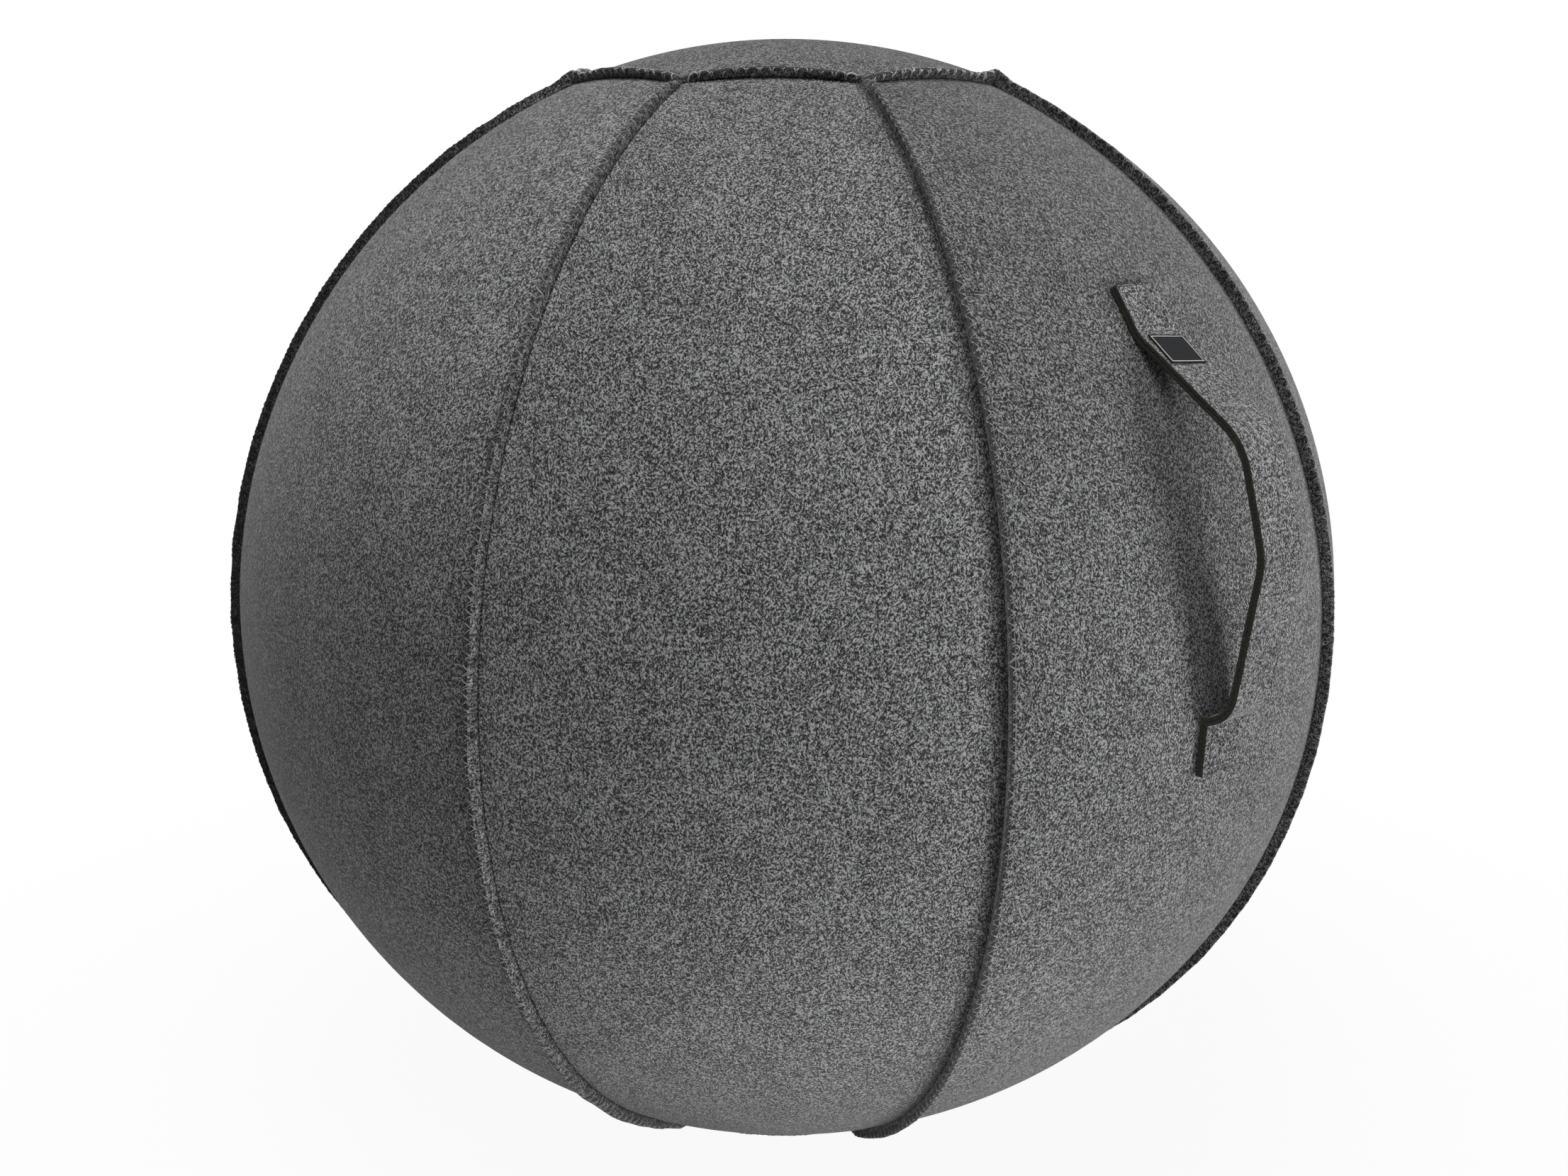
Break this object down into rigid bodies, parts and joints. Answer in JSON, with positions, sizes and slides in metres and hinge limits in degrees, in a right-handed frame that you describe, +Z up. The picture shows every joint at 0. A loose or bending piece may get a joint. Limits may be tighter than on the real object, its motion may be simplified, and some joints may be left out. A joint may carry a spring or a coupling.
{
  "type": "sitting ball",
  "caption": "Felt-covered inflatable sitting ball: gored cover with raised seams, strap handle and rear zip over an air-filled ball.",
  "frame": {"origin": "centre of the flat on which the ball stands, at floor height", "axes": "+Z up, -Y towards the panel with the handle, +X to the right of someone facing the handle"},
  "size_m": [0.6498, 0.6798, 0.6453],
  "materials": {
    "felt": "heathered mid-grey wool felt, matte, with light fibre flecks",
    "tag": "black woven tape with a fine light border line",
    "ball_skin": "soft grey vinyl, satin",
    "plug": "off-white moulded plastic",
    "zip_tape": "dark grey woven tape",
    "zip_coil": "dark grey nylon coil",
    "zip_metal": "dark grey enamelled die-cast metal"
  },
  "bodies": {
    "ball": {"gore_panel_1": "felt", "gore_panel_2": "felt", "gore_panel_3": "felt", "gore_panel_4": "felt", "gore_panel_5": "felt", "gore_panel_6": "felt", "gore_panel_7": "felt", "gore_panel_8": "felt", "top_cap": "felt", "bottom_cap": "felt", "inflatable_ball": "ball_skin", "valve_plug": "plug", "handle_upper_end_outer": "felt", "handle_upper_end_inner": "felt", "handle_lower_end_outer": "felt", "handle_lower_end_inner": "felt", "handle_tag": "tag", "zip_tape_left": "zip_tape", "zip_tape_right": "zip_tape", "zip_coil_left": "zip_coil", "zip_coil_right": "zip_coil", "zip_top_stops": "zip_metal", "zip_bottom_stop": "zip_metal"},
    "handle": {"handle_loop_outer": "felt", "handle_loop_inner": "felt"},
    "slider": {"zip_slider": "zip_metal"},
    "pull": {"zip_pull": "zip_metal"}
  },
  "joints": [
    {"name": "handle_swing", "type": "hinge", "parent": "ball", "child": "handle", "pos_m": [0, -0.29508, 0.48685], "axis": [0, -0.3355, -0.9421], "range_deg": [-20, 20], "stiffness_Nm_per_rad": 0.05},
    {"name": "zip_travel", "type": "hinge", "parent": "ball", "child": "slider", "pos_m": [0, 0, 0.32031], "axis": [-0.9239, 0.3827, 0], "range_deg": [0, 61]},
    {"name": "zip_pull_flip", "type": "hinge", "parent": "slider", "child": "pull", "pos_m": [0.11492, 0.27745, 0.45553], "axis": [0.9239, -0.3827, 0], "range_deg": [0, 150]}
  ]
}
